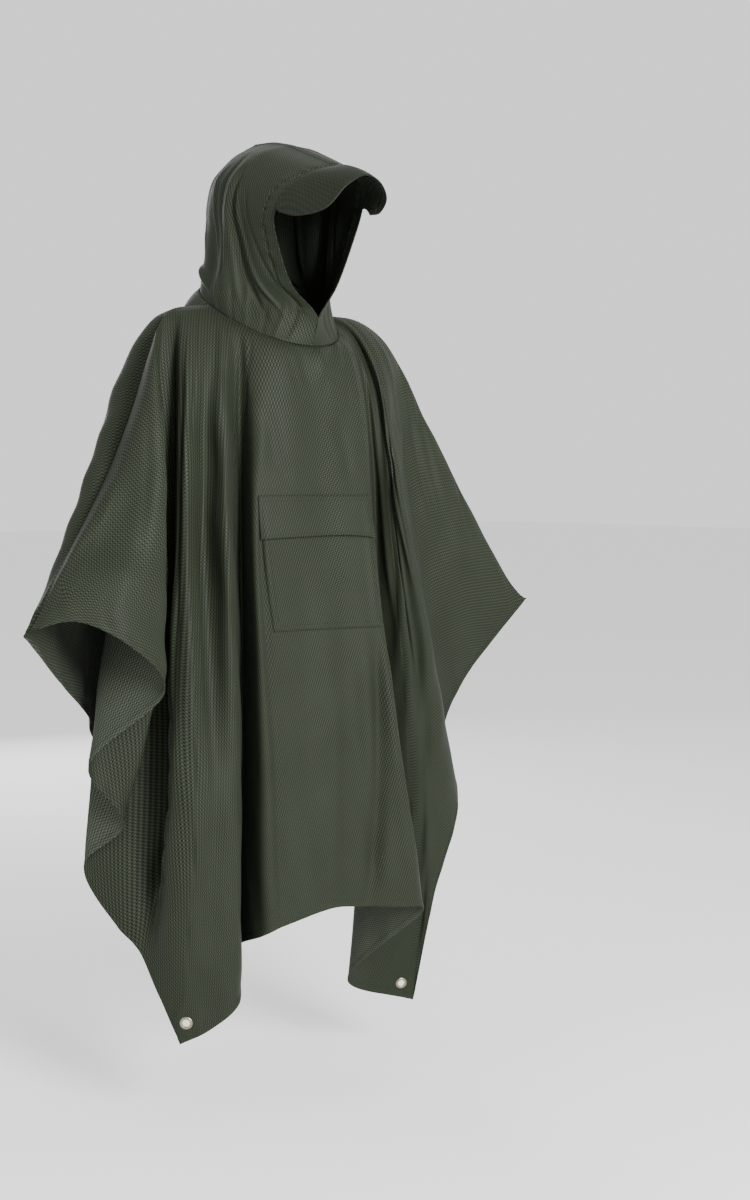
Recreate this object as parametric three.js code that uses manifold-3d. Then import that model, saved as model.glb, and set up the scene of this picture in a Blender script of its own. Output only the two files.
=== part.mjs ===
// A hooded rain poncho, filled out as when it is worn, with nobody in it.
// Millimetres, +Z up. The wearer faces -Y, and the wearer's right side is -X.
// The origin is on the wearer's shoulders, midway between the two shoulder points.

import * as THREE from "three";
import { mergeVertices } from "three/addons/utils/BufferGeometryUtils.js";
import Module from "manifold-3d";

const wasm = await Module();
wasm.setup();

// Cloth
const CLOTH = 1.5; // wall thickness of every cloth piece
const SEAM_GAP = 0.3; // clear space between two pieces that are sewn together

// Neck seam: an oval round the neck, high at the back and low at the front
const NECK_HALF_WIDTH = 125;
const NECK_FRONT = 130; // from its centre to centre front
const NECK_BACK = 104; // from its centre to centre back
const NECK_TILT = 0.57; // rise for each millimetre towards the back
const NECK_RISE = 6; // height at its centre

// The line over shoulder and arm where front and back are joined. In plan it runs
// straight out from the neck to the shoulder point and from there forward with the arm;
// out is measured along it from the neck, and top is its place on the panels' top edge.
const ARM_FORWARD = 17; // degrees
const SHOULDER_LINE = [
  { at: "side of the neck", top: 200, out: 0, z: 6 },
  { at: "shoulder point", top: 290, out: 90, z: -14 },
  { at: "upper arm", top: 366, out: 127, z: -80 },
  { at: "elbow", top: 615, out: 248, z: -295 },
  { at: "cuff", top: 912, out: 439, z: -536 },
];

// Cloth leaving the shoulders turns over this round before it falls: shares of the way
// out to the first third, and of the drop to the hem. The folds are still shallow there:
// even is how far each fold line keeps to the mean of its two neighbours.
const ROUND = [
  { out: 0.3, down: 0.014, even: 0.5 },
  { out: 0.68, down: 0.085, even: 0.34 },
];

// Fold lines of the front, from the wearer's right cuff to the left one. Each starts on
// the top edge, top mm from centre front, passes through its plan places one third and
// two thirds of the way down, and ends on the hem. Ridges and valleys take turns.
const FRONT_FOLDS = [
  { fold: "right cuff tip", top: -912, third: [-547, -112], lower: [-547, -118], hem: [-545, -124, -531] },
  { fold: "right sleeve front", top: -760, third: [-486, -114], lower: [-491, -140], hem: [-490, -154, -520] },
  { fold: "right sleeve inner", top: -580, third: [-386, -130], lower: [-408, -176], hem: [-414, -192, -562] },
  { fold: "sleeve fold", top: -335, third: [-306, -130], lower: [-324, -156], hem: [-334, -166, -640] },
  { fold: "cascade 1 out", top: -318, third: [-290, -52], lower: [-350, -22], hem: [-404, -42, -775] },
  { fold: "cascade 1 in", top: -302, third: [-262, -62], lower: [-278, -76], hem: [-338, -42, -878] },
  { fold: "cascade 2 out", top: -290, third: [-272, -34], lower: [-345, 12], hem: [-364, 46, -963] },
  { fold: "cascade 2 in", top: -274, third: [-262, -44], lower: [-292, -14], hem: [-330, -4, -1062] },
  { fold: "side valley", top: -260, third: [-230, -50], lower: [-206, -52], hem: [-310, -38, -1098] },
  { fold: "side ridge", top: -246, third: [-262, -92], lower: [-288, -112], hem: [-298, -76, -1162] },
  { fold: "right corner", top: -226, third: [-256, -118], lower: [-262, -148], hem: [-276, -113, -1252] },
  { fold: "right valley", top: -196, third: [-206, -98], lower: [-230, -150], hem: [-239, -146, -1228] },
  { fold: "right ridge", top: -165, third: [-196, -146], lower: [-190, -162], hem: [-188, -162, -1190] },
  { fold: "dark valley", top: -135, third: [-116, -76], lower: [-106, -62], hem: [-112, -44, -1134] },
  { fold: "panel ridge", top: -106, third: [-134, -142], lower: [-124, -146], hem: [-122, -146, -1086] },
  { fold: "panel valley", top: -72, third: [-100, -152], lower: [-72, -150], hem: [-78, -162, -1070] },
  { fold: "centre front", top: 0, third: [-2, -160], lower: [-4, -172], hem: [0, -188, -1050] },
  { fold: "left panel valley", top: 50, third: [46, -168], lower: [46, -182], hem: [56, -192, -1056] },
  { fold: "left panel ridge", top: 80, third: [76, -174], lower: [86, -200], hem: [125, -222, -1063] },
  { fold: "left panel edge", top: 102, third: [96, -176], lower: [124, -206], hem: [181, -224, -1074] },
  { fold: "left deep valley", top: 140, third: [172, -102], lower: [176, -72], hem: [160, -32, -1250] },
  { fold: "left corner", top: 168, third: [180, -140], lower: [240, -120], hem: [297, -66, -1306] },
  { fold: "left side hem", top: 186, third: [180, -150], lower: [246, -146], hem: [304, -118, -1092] },
  { fold: "left ridge", top: 206, third: [178, -158], lower: [254, -164], hem: [362, -122, -918] },
  { fold: "left side valley", top: 290, third: [254, -92], lower: [304, -92], hem: [394, -44, -795] },
  { fold: "left sleeve inner", top: 470, third: [340, -108], lower: [380, -100], hem: [428, -62, -700] },
  { fold: "left sleeve front", top: 700, third: [450, -112], lower: [470, -106], hem: [486, -82, -622] },
  { fold: "left cuff tip", top: 912, third: [547, -112], lower: [547, -118], hem: [547, -122, -533] },
];

// Fold lines of the back, from the wearer's right cuff to the left one
const BACK_FOLDS = [
  { fold: "right cuff tip", top: -912, third: [-547, -94], lower: [-546, -88], hem: [-541, -82, -546] },
  { fold: "right sleeve back", top: -700, third: [-450, -24], lower: [-445, -18], hem: [-438, -22, -638] },
  { fold: "right sleeve inner", top: -480, third: [-352, 34], lower: [-362, 46], hem: [-356, 36, -704] },
  { fold: "right armhole ridge", top: -330, third: [-286, 80], lower: [-312, 88], hem: [-322, 84, -745] },
  { fold: "right side valley", top: -290, third: [-244, 78], lower: [-236, 84], hem: [-238, 86, -850] },
  { fold: "right side ridge", top: -250, third: [-240, 132], lower: [-262, 146], hem: [-248, 128, -960] },
  { fold: "right corner", top: -205, third: [-197, 124], lower: [-200, 96], hem: [-208, 124, -1150] },
  { fold: "right ridge", top: -160, third: [-150, 174], lower: [-152, 206], hem: [-150, 216, -1075] },
  { fold: "right valley", top: -110, third: [-100, 128], lower: [-98, 114], hem: [-94, 122, -1052] },
  { fold: "right back ridge", top: -60, third: [-57, 178], lower: [-54, 202], hem: [-50, 222, -1042] },
  { fold: "centre back", top: 0, third: [0, 136], lower: [4, 126], hem: [8, 138, -1040] },
  { fold: "left back ridge", top: 65, third: [62, 180], lower: [66, 208], hem: [72, 226, -1046] },
  { fold: "left valley", top: 115, third: [106, 126], lower: [108, 110], hem: [106, 112, -1060] },
  { fold: "left ridge", top: 160, third: [156, 172], lower: [170, 204], hem: [182, 214, -1090] },
  { fold: "left corner", top: 205, third: [200, 126], lower: [220, 102], hem: [232, 116, -1152] },
  { fold: "left side ridge", top: 250, third: [244, 142], lower: [280, 166], hem: [292, 146, -985] },
  { fold: "left side valley", top: 290, third: [246, 76], lower: [252, 74], hem: [268, 70, -862] },
  { fold: "left armhole ridge", top: 330, third: [288, 80], lower: [322, 82], hem: [344, 70, -755] },
  { fold: "left sleeve inner", top: 480, third: [352, 34], lower: [370, 38], hem: [384, 26, -704] },
  { fold: "left sleeve back", top: 700, third: [450, -24], lower: [450, -20], hem: [456, -26, -632] },
  { fold: "left cuff tip", top: 912, third: [547, -94], lower: [546, -88], hem: [543, -82, -546] },
];

const STEPS_PER_FOLD = 3; // columns between two fold lines
const STEPS_PER_LEVEL = 4; // rows between two points of a fold line

// Hood sections above the neck seam, on the +X side: the face edge, the widest place
// beside the head, and the place on the centre seam behind
const HOOD_SECTIONS = [
  { at: "foot of the opening", face: [0, -147, -22], side: [121, -4, 42], back: [100, 92] },
  { at: "chin", face: [48, -139, 33], side: [112, -10, 84], back: [101, 126] },
  { at: "cheek", face: [80, -142, 100], side: [110, -18, 138], back: [107, 168] },
  { at: "eye", face: [97, -150, 158], side: [112, -26, 188], back: [107, 210] },
  { at: "temple", face: [88, -166, 196], side: [100, -40, 236], back: [99, 254] },
  { at: "brow", face: [50, -190, 222], side: [62, -68, 272], back: [76, 286] },
  { at: "crown", face: [0, -204, 232], side: [0, -93, 281], back: [30, 302] },
];
// It leans towards the wearer's right: fall for each millimetre out from the middle,
// reached in full by this share of the way up
const HOOD_LEAN = 0.135;
const HOOD_LEAN_FROM = 0.5;
const HOOD_ROWS_PER_SECTION = 3;
const HOOD_STEPS = 7; // columns from the face edge to the side, and again to the back

// Folds of the hood from the head down to the neck seam: place is 0 at the face edge and
// 1 at the centre seam, from and to are shares of the way up, height is that of the ridge
const HOOD_FOLDS = [
  { place: 0.26, drift: 0.1, from: 0, to: 0.62, width: 0.07, height: -7 },
  { place: 0.4, drift: 0.1, from: 0, to: 0.75, width: 0.06, height: 6 },
  { place: 0.54, drift: 0.08, from: 0, to: 0.7, width: 0.06, height: -8 },
  { place: 0.7, drift: 0.05, from: 0, to: 0.5, width: 0.07, height: 6 },
];

// Visor: a stiff brim sewn into the top of the face edge. Its rim runs through these
// points on the +X side, and its root starts at the hood section named here.
const VISOR_THICKNESS = 3;
const VISOR_FROM = "eye";
const VISOR_RIM = [
  { x: 0, y: -264, z: 198 },
  { x: 44, y: -258, z: 180 },
  { x: 82, y: -232, z: 150 },
  { x: 100, y: -176, z: 153 },
];
const VISOR_ROOT_GAP = 0.9; // to the middle of the hood's edge
const VISOR_RISE = 5; // arch between root and rim
const VISOR_STEPS_OUT = 5;

// Pocket and flap: they lie on the front between these columns and rows of its grid
const POCKET_COLUMNS = { from: ["panel ridge", 1], to: ["left panel edge", 0] };
const POCKET_ROWS = { top: 11, flapEnd: 12, bottom: 14 };

// Grommets, one at each corner of the cut: beside this fold line and so far up from the hem
const GROMMET_OUTER_R = 11;
const GROMMET_HOLE_R = 6.5;
const GROMMET_BARREL = 1.2; // thickness of the barrel's wall
const GROMMET_FLANGE = 1;
const GROMMET_PLAY = 0.7; // between a flange and the cloth
const GROMMET_SIDES = 18;
const GROMMETS = [
  { name: "grommet_front_right", panel: "front", fold: "right corner", shift: 0.5, up: 34 },
  { name: "grommet_front_left", panel: "front", fold: "left corner", shift: -0.5, up: 30 },
  { name: "grommet_back_right", panel: "back", fold: "right corner", shift: -0.5, up: 34 },
  { name: "grommet_back_left", panel: "back", fold: "left corner", shift: 0.5, up: 34 },
];

const CLOTH_GREEN = 0x39432f;
const BRASS = 0xb9a888;

const vector = (x, y, z) => new THREE.Vector3(x, y, z);
const mix = (a, b, share) => a + (b - a) * share;

// A smooth curve through points; place runs from 0 at the first to points.length - 1
function curveThrough(points) {
  const curve = new THREE.CatmullRomCurve3(points);
  return (place) => curve.getPoint(Math.min(Math.max(place / (points.length - 1), 0), 1));
}

// A point of the neck seam; turn is 0 at centre front or centre back, and 90 at the side
function neckPoint(turn, depth, spread) {
  const angle = THREE.MathUtils.degToRad(turn);
  const x = (NECK_HALF_WIDTH + spread) * Math.sin(angle);
  const y = Math.sign(depth) * (Math.abs(depth) + spread) * Math.cos(angle);
  return vector(x, y, NECK_RISE + NECK_TILT * y);
}

// The top edge of the front (side -1) or the back (side 1): along the neck seam, then over
// shoulder and arm. It gives the point at the place top, on the +X side if positive, and
// the direction across the seam, level and square to it.
function topEdge(side) {
  const [neckSide, shoulder] = SHOULDER_LINE;
  const depth = side < 0 ? -NECK_FRONT : NECK_BACK;
  const spread = CLOTH + SEAM_GAP;
  const line = curveThrough(SHOULDER_LINE.map(({ out, z }) => vector(out, 0, z)));
  const forward = THREE.MathUtils.degToRad(ARM_FORWARD);
  return (top) => {
    const hand = Math.sign(top);
    const far = Math.abs(top);
    if (far < neckSide.top) {
      const point = neckPoint((far / neckSide.top) * 90, depth, spread);
      return { point: vector(hand * point.x, point.y, point.z), across: null };
    }
    const k = Math.max(SHOULDER_LINE.findIndex((row) => row.top >= far), 1);
    const [from, to] = [SHOULDER_LINE[k - 1], SHOULDER_LINE[k]];
    const { x: out, z } = line(k - 1 + (far - from.top) / (to.top - from.top));
    const arm = Math.max(out - shoulder.out, 0);
    const x = NECK_HALF_WIDTH + spread + out - arm + arm * Math.cos(forward);
    const y = -arm * Math.sin(forward) + (side * SEAM_GAP) / 2;
    const turn = arm > 0 ? forward : 0;
    const across = vector(hand * Math.sin(turn), Math.cos(turn), 0);
    return { point: vector(hand * x, y, z), across };
  };
}

// The same where the curve turns sharply at some of its points and starts afresh
function curveWithCorners(points, corners) {
  const ends = [0, ...corners, points.length - 1];
  const curves = corners.concat(points.length - 1).map((end, k) => ({
    from: ends[k],
    curve: curveThrough(points.slice(ends[k], end + 1)),
  }));
  return (place) => {
    const { from, curve } = curves.findLast((one) => one.from <= place);
    return curve(place - from);
  };
}

// A fold line, as a function of its place from 0 at the top edge to 5 at the hem
function foldLine(folds, k, edge) {
  const row = folds[k];
  const [before, after] = [folds[Math.max(k - 1, 0)], folds[Math.min(k + 1, folds.length - 1)]];
  const top = edge(row.top).point;
  const hem = vector(...row.hem);
  const drop = hem.z - top.z;
  const third = vector(...row.third, top.z + drop / 3);
  const lower = vector(...row.lower, top.z + (drop * 2) / 3);
  const round = ROUND.map(({ out, down, even }) => {
    const [x, y] = row.third.map((v, c) => mix(v, (before.third[c] + after.third[c]) / 2, even));
    return vector(mix(top.x, x, out), mix(top.y, y, out), top.z + drop * down);
  });
  return curveThrough([top, ...round, third, lower, hem]);
}

// The points and normals of a panel, row by row from its top edge, each row from the
// wearer's right to the left. Its end faces on the shoulder line are upright.
function panel(folds, side) {
  const edge = topEdge(side);
  const lines = folds.map((_, k) => foldLine(folds, k, edge));
  const corners = [...folds.keys()].filter((k) => folds[k].fold.endsWith("corner"));
  const rows = 5 * STEPS_PER_LEVEL;
  const columns = (folds.length - 1) * STEPS_PER_FOLD;
  const grid = [];
  for (let j = 0; j <= rows; j++) {
    const places = lines.map((line) => line(j / STEPS_PER_LEVEL));
    const across = j < rows ? curveThrough(places) : curveWithCorners(places, corners);
    grid.push(Array.from({ length: columns + 1 }, (_, i) => across(i / STEPS_PER_FOLD)));
  }
  const tops = Array.from({ length: columns + 1 }, (_, i) => {
    const k = Math.min(Math.floor(i / STEPS_PER_FOLD), folds.length - 2);
    return mix(folds[k].top, folds[k + 1].top, i / STEPS_PER_FOLD - k);
  });
  grid[0] = tops.map((top) => edge(top).point);
  const normals = gridNormals(grid);
  if (side > 0) normals.flat().forEach((n) => n.negate());
  tops.forEach((top, i) => {
    const { across } = edge(top);
    if (!across) return;
    const n = normals[0][i];
    n.addScaledVector(across, -n.dot(across)).normalize();
  });
  return { grid, normals };
}

// The normal at each point of a grid, on the left of a row as it runs, seen from below
function gridNormals(grid) {
  const last = (list) => list.length - 1;
  return grid.map((row, j) =>
    row.map((_, i) => {
      const along = row[Math.min(i + 1, last(row))].clone().sub(row[Math.max(i - 1, 0)]);
      const down = grid[Math.min(j + 1, last(grid))][i].clone().sub(grid[Math.max(j - 1, 0)][i]);
      return down.cross(along).normalize();
    }),
  );
}

// A closed solid between two grids of the same size; outer's normals point out of it
function solidBetween(outer, inner) {
  const rows = outer.length;
  const columns = outer[0].length;
  const points = [...outer.flat(), ...inner.flat()];
  const at = (side, j, i) => side * rows * columns + j * columns + i;
  const index = [];
  const quad = (a, b, c, d) => index.push(a, b, c, a, c, d);
  for (let j = 0; j + 1 < rows; j++) {
    for (let i = 0; i + 1 < columns; i++) {
      quad(at(0, j, i), at(0, j + 1, i), at(0, j + 1, i + 1), at(0, j, i + 1));
      quad(at(1, j, i), at(1, j, i + 1), at(1, j + 1, i + 1), at(1, j + 1, i));
    }
    quad(at(0, j, 0), at(1, j, 0), at(1, j + 1, 0), at(0, j + 1, 0));
    const end = columns - 1;
    quad(at(0, j, end), at(0, j + 1, end), at(1, j + 1, end), at(1, j, end));
  }
  for (let i = 0; i + 1 < columns; i++) {
    quad(at(0, 0, i), at(0, 0, i + 1), at(1, 0, i + 1), at(1, 0, i));
    const end = rows - 1;
    quad(at(0, end, i), at(1, end, i), at(1, end, i + 1), at(0, end, i + 1));
  }
  const geometry = new THREE.BufferGeometry().setFromPoints(points);
  geometry.setIndex(index);
  return geometry;
}

const movedOut = (grid, normals, distance) =>
  grid.map((row, j) => row.map((p, i) => p.clone().addScaledVector(normals[j][i], distance)));

function clothWall(grid, normals, out = 0) {
  return solidBetween(
    movedOut(grid, normals, out + CLOTH / 2),
    movedOut(grid, normals, out - CLOTH / 2),
  );
}

function toManifold(geometry) {
  const bare = new THREE.BufferGeometry();
  bare.setAttribute("position", geometry.getAttribute("position"));
  bare.setIndex(geometry.getIndex());
  const merged = mergeVertices(bare, 1e-4);
  return new wasm.Manifold(
    new wasm.Mesh({
      numProp: 3,
      vertProperties: new Float32Array(merged.getAttribute("position").array),
      triVerts: new Uint32Array(merged.getIndex().array),
    }),
  );
}

function fromManifold(solid) {
  const { vertProperties, triVerts } = solid.getMesh();
  const geometry = new THREE.BufferGeometry();
  geometry.setAttribute("position", new THREE.BufferAttribute(vertProperties, 3));
  geometry.setIndex(new THREE.BufferAttribute(triVerts, 1));
  return geometry;
}

const front = panel(FRONT_FOLDS, -1);
const back = panel(BACK_FOLDS, 1);
back.grid.forEach((row) => row.reverse());
back.normals.forEach((row) => row.reverse());

// A hood section as a curve from the face edge (0) past the side (0.5) to the back (1)
function hoodSection({ face, side, back: rear }) {
  const [fx, fy, fz] = face;
  const [sx, sy, sz] = side;
  const [by, bz] = rear;
  return (share) => {
    if (share < 0.5) {
      const t = share * 2;
      return vector(mix(fx, sx, Math.sin((t * Math.PI) / 2)), mix(fy, sy, t), mix(fz, sz, t));
    }
    const angle = (share - 0.5) * Math.PI;
    const z = mix(sz, bz, Math.sin(angle) ** 2);
    return vector(sx * Math.cos(angle), mix(sy, by, Math.sin(angle)), z);
  };
}

// The seam row of the hood: the neck oval from centre front to centre back
function neckRow(share) {
  if (share < 0.5) return neckPoint(share * 180, -NECK_FRONT, 0);
  return neckPoint((1 - share) * 180, NECK_BACK, 0);
}

const hoodColumns = 2 * HOOD_STEPS;
const hoodRows = HOOD_SECTIONS.length * HOOD_ROWS_PER_SECTION;

function foldHeight(share, up) {
  return HOOD_FOLDS.reduce((sum, fold) => {
    const across = (share - fold.place - fold.drift * up) / fold.width;
    const along = (up - fold.from) / (fold.to - fold.from);
    if (along <= 0 || along >= 1) return sum;
    return sum + fold.height * Math.exp(-across * across) * Math.sin(Math.PI * along);
  }, 0);
}

// The half of the hood on the +X side; lean is its rise for each millimetre out
function hoodHalf(lean) {
  const sections = [neckRow, ...HOOD_SECTIONS.map(hoodSection)];
  const columns = Array.from({ length: hoodColumns + 1 }, (_, i) =>
    curveThrough(sections.map((section) => section(i / hoodColumns))),
  );
  const grid = [];
  for (let j = hoodRows; j >= 0; j--) {
    grid.push(columns.map((column) => column(j / HOOD_ROWS_PER_SECTION)));
  }
  grid.forEach((row, j) => {
    const share = THREE.MathUtils.smoothstep(1 - j / hoodRows, 0, HOOD_LEAN_FROM);
    row.forEach((p) => (p.z += lean * share * p.x));
  });
  const plain = gridNormals(grid);
  grid.forEach((row, j) =>
    row.forEach((p, i) => {
      p.addScaledVector(plain[j][i], foldHeight(i / hoodColumns, 1 - j / hoodRows));
    }),
  );
  const normals = gridNormals(grid);
  grid.forEach((row, j) =>
    row.forEach((p, i) => {
      const belowOpening = i === 0 && j >= hoodRows - HOOD_ROWS_PER_SECTION;
      if (!belowOpening && i < hoodColumns && j > 0) return;
      p.x = SEAM_GAP / 2;
      normals[j][i].x = 0;
      normals[j][i].normalize();
    }),
  );
  return { grid, normals };
}

const hood = hoodHalf(HOOD_LEAN);
const mirrored = ({ grid, normals }) => {
  const flip = (rows) => rows.map((row) => row.map((p) => vector(-p.x, p.y, p.z)).reverse());
  return { grid: flip(grid), normals: flip(normals) };
};
const hoodRight = mirrored(hoodHalf(-HOOD_LEAN));

// The visor, from the wearer's right to the left, root to rim
function visorGrid() {
  const first = 1 + HOOD_SECTIONS.findIndex(({ at }) => at === VISOR_FROM);
  const last = hoodRows - first * HOOD_ROWS_PER_SECTION;
  const level = (p) => vector(p.x, p.y, p.z - HOOD_LEAN * p.x);
  const half = hood.grid.slice(0, last + 1).map((row) => level(row[0]));
  const rim = curveThrough(VISOR_RIM.map(({ x, y, z }) => vector(x, y, z)));
  const columns = half.map((root, j) => {
    const edge = rim((j / last) * (VISOR_RIM.length - 1));
    const start = root.clone().lerp(edge, VISOR_ROOT_GAP / root.distanceTo(edge));
    return Array.from({ length: VISOR_STEPS_OUT + 1 }, (_, k) => {
      const share = k / VISOR_STEPS_OUT;
      const point = start.clone().lerp(edge, share);
      point.z += VISOR_RISE * 4 * share * (1 - share);
      return point;
    });
  });
  columns[0].forEach((p) => (p.x = 0));
  const other = columns.slice(1).map((column) => column.map((p) => vector(-p.x, p.y, p.z)));
  const all = [...other.reverse(), ...columns];
  all.flat().forEach((p) => (p.z += HOOD_LEAN * p.x));
  return Array.from({ length: VISOR_STEPS_OUT + 1 }, (_, k) => all.map((column) => column[k]));
}

const part = ({ grid, normals }, rowFrom, rowTo, colFrom, colTo) => ({
  grid: grid.slice(rowFrom, rowTo + 1).map((row) => row.slice(colFrom, colTo + 1)),
  normals: normals.slice(rowFrom, rowTo + 1).map((row) => row.slice(colFrom, colTo + 1)),
});

function pocketLayer(rowFrom, rowTo, layer) {
  const column = ([fold, extra]) =>
    FRONT_FOLDS.findIndex((row) => row.fold === fold) * STEPS_PER_FOLD + extra;
  const { from, to } = POCKET_COLUMNS;
  const piece = part(front, rowFrom, rowTo, column(from), column(to));
  return clothWall(piece.grid, piece.normals, layer * (CLOTH + SEAM_GAP));
}

// A grommet round the Y axis: a barrel through the cloth and a flange on either face
function grommetGeometry() {
  const inside = CLOTH / 2 + GROMMET_PLAY;
  const outside = inside + GROMMET_FLANGE;
  const barrel = GROMMET_HOLE_R + GROMMET_BARREL;
  const profile = [
    [GROMMET_HOLE_R, -outside],
    [GROMMET_OUTER_R, -outside],
    [GROMMET_OUTER_R, -inside],
    [barrel, -inside],
    [barrel, inside],
    [GROMMET_OUTER_R, inside],
    [GROMMET_OUTER_R, outside],
    [GROMMET_HOLE_R, outside],
    [GROMMET_HOLE_R, -outside],
  ].map(([r, height]) => new THREE.Vector2(r, height));
  return new THREE.LatheGeometry(profile, GROMMET_SIDES);
}

// What a grommet takes out of the cloth: the hole, and the cloth its flanges press flat
function grommetSeat() {
  const disc = (radius, height, at) => {
    const round = new THREE.CylinderGeometry(radius, radius, height, GROMMET_SIDES);
    return round.translate(0, at, 0);
  };
  const flange = GROMMET_OUTER_R + SEAM_GAP;
  const middle = CLOTH / 2 + GROMMET_PLAY + GROMMET_FLANGE / 2;
  const height = GROMMET_FLANGE + 2 * SEAM_GAP;
  return [
    disc(GROMMET_HOLE_R + GROMMET_BARREL + SEAM_GAP, 4 * CLOTH, 0),
    disc(flange, height, middle),
    disc(flange, height, -middle),
  ];
}

const group = new THREE.Group();
function add(name, geometry, colour, roughness, metalness = 0) {
  const material = new THREE.MeshStandardMaterial({ color: colour, roughness, metalness });
  const mesh = new THREE.Mesh(geometry, material);
  mesh.name = name;
  group.add(mesh);
  return mesh;
}

const cloth = (name, geometry) => add(name, geometry, CLOTH_GREEN, 0.6);
const panels = {
  front: { ...front, folds: FRONT_FOLDS, solid: toManifold(clothWall(front.grid, front.normals)) },
  back: { ...back, folds: BACK_FOLDS, solid: toManifold(clothWall(back.grid, back.normals)) },
};
GROMMETS.forEach(({ name, panel: of, fold, shift, up }) => {
  const { grid, folds } = panels[of];
  const place = folds.findIndex((row) => row.fold === fold) * STEPS_PER_FOLD + shift;
  const left = Math.floor(of === "back" ? grid[0].length - 1 - place : place);
  const [above, hem] = grid.slice(-2).map((row) => [row[left], row[left + 1]]);
  const middle = ([p, q]) => p.clone().lerp(q, 0.5);
  const foot = middle(hem);
  const centre = foot.clone().lerp(middle(above), up / foot.distanceTo(middle(above)));
  const diagonal = above[1].clone().sub(hem[0]);
  const normal = diagonal.cross(above[0].clone().sub(hem[1])).normalize();
  const turn = new THREE.Quaternion().setFromUnitVectors(vector(0, 1, 0), normal);
  const placed = new THREE.Matrix4().compose(centre, turn, vector(1, 1, 1));
  grommetSeat().forEach((seat) => {
    panels[of].solid = panels[of].solid.subtract(toManifold(seat.applyMatrix4(placed)));
  });
  add(name, grommetGeometry().applyMatrix4(placed), BRASS, 0.3, 1);
});
cloth("front", fromManifold(panels.front.solid));
cloth("back", fromManifold(panels.back.solid));
cloth("hood_left", clothWall(hood.grid, hood.normals));
cloth("hood_right", clothWall(hoodRight.grid, hoodRight.normals));
cloth("pocket", pocketLayer(POCKET_ROWS.top, POCKET_ROWS.bottom, 1));
cloth("pocket_flap", pocketLayer(POCKET_ROWS.top, POCKET_ROWS.flapEnd, 2));
const visor = visorGrid();
const visorNormals = gridNormals(visor);
cloth(
  "visor",
  solidBetween(
    movedOut(visor, visorNormals, VISOR_THICKNESS / 2),
    movedOut(visor, visorNormals, -VISOR_THICKNESS / 2),
  ),
);

export default group;
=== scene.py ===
# A hooded rain poncho, filled out as when it is worn, with nobody in it.
# Tables and forms are in millimetres and turn to metres as each mesh is made.
# +Z is up, the wearer faces -Y, and the wearer's right side is -X.

import math

import bpy
import numpy as np
from mathutils import Matrix, Vector


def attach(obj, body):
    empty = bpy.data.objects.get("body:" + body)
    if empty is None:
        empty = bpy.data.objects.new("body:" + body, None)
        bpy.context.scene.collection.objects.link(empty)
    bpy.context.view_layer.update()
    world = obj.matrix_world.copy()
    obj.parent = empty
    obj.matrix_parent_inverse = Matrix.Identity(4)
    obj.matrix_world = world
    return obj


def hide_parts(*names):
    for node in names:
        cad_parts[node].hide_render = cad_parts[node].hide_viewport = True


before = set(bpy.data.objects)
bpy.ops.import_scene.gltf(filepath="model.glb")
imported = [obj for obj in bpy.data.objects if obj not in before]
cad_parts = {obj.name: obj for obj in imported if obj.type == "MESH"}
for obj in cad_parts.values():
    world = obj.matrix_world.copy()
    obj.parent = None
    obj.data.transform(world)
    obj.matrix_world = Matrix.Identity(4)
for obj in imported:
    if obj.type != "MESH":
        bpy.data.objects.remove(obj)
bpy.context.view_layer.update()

MM = 0.001
rng = np.random.default_rng(11)

# ------ the cut and its drape
CLOTH = 0.5  # thickness of one layer as it shows
SEAM_GAP = 0.3
NECK_SEAM = 1.0  # from the hood's lower edge out to the panels' top edges

NECK_HALF_WIDTH = 125
NECK_FRONT = 130
NECK_BACK = 104
NECK_TILT = 0.57
NECK_RISE = 6

ARM_FORWARD = math.radians(17)
# place on the top edge, distance out from the neck, height
SHOULDER_LINE = [
    (200, 0, 6),
    (290, 90, -14),
    (366, 127, -80),
    (615, 248, -295),
    (912, 439, -536),
]
# Cloth leaving the shoulders turns over a round: share of the way out, share of the drop,
# and how far a fold line keeps to the mean of its neighbours there
ROUND = [(0.3, 0.014, 0.5), (0.68, 0.085, 0.34)]

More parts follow.
